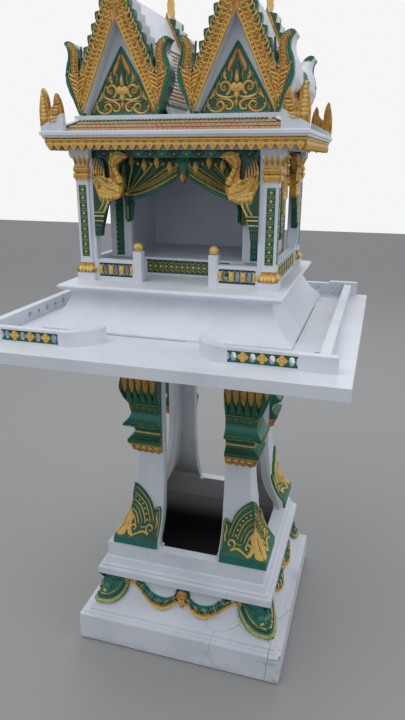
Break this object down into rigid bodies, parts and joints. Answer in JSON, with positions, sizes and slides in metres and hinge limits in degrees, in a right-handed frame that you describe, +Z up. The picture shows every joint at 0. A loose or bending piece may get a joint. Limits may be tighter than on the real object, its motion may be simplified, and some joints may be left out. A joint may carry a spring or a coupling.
{
  "type": "spirit house",
  "caption": "White painted cast spirit house with twin steep gables, an open porch and room, a railed tray for offerings and a hollow four-legged pedestal.",
  "frame": {"origin": "centre of the underside of the lower block, on the ground", "axes": "+Z up; the front with the porch and offerings tray looks along -Y; +X is to the right of someone who faces the front"},
  "size_m": [0.942, 0.922, 1.964],
  "materials": {
    "white_paint": "white painted cast concrete, matt",
    "green_gold": "green painted relief with gold lines",
    "gold_paint": "gold painted relief",
    "roof_tile": "small painted roof tiles in the casting",
    "grey_render": "plain grey paint"
  },
  "bodies": {
    "root": {"plinth_block": "white_paint", "plinth_tier": "white_paint", "neck_tier": "white_paint", "tower": "white_paint", "leg_capitals": "green_gold", "leg_leaves": "green_gold", "front_swag": "green_gold", "rear_swag": "green_gold", "side_swags": "green_gold", "plate": "white_paint", "side_tray_walls": "white_paint", "rear_tray_wall": "white_paint", "front_left_railing": "white_paint", "front_right_railing": "white_paint", "house_base": "white_paint", "room_floor": "white_paint", "back_wall": "grey_render", "room_side_walls": "grey_render", "room_front_arch": "white_paint", "curtain": "green_gold", "front_left_column": "white_paint", "front_right_column": "white_paint", "rear_columns": "white_paint", "front_arch": "white_paint", "side_arches": "white_paint", "front_swans": "gold_paint", "side_swans": "gold_paint", "balustrades": "white_paint", "rail_posts": "white_paint", "ceiling": "white_paint", "eaves_cornice": "white_paint", "front_valance": "gold_paint", "rear_valance": "gold_paint", "side_valances": "gold_paint", "skirt_roof": "roof_tile", "left_roof": "roof_tile", "right_roof": "roof_tile", "front_left_bargeboard": "gold_paint", "front_right_bargeboard": "gold_paint", "rear_left_bargeboard": "gold_paint", "rear_right_bargeboard": "gold_paint", "front_pediments": "green_gold", "rear_pediments": "green_gold", "gable_finials": "gold_paint", "hip_finials": "gold_paint"}
  },
  "joints": []
}
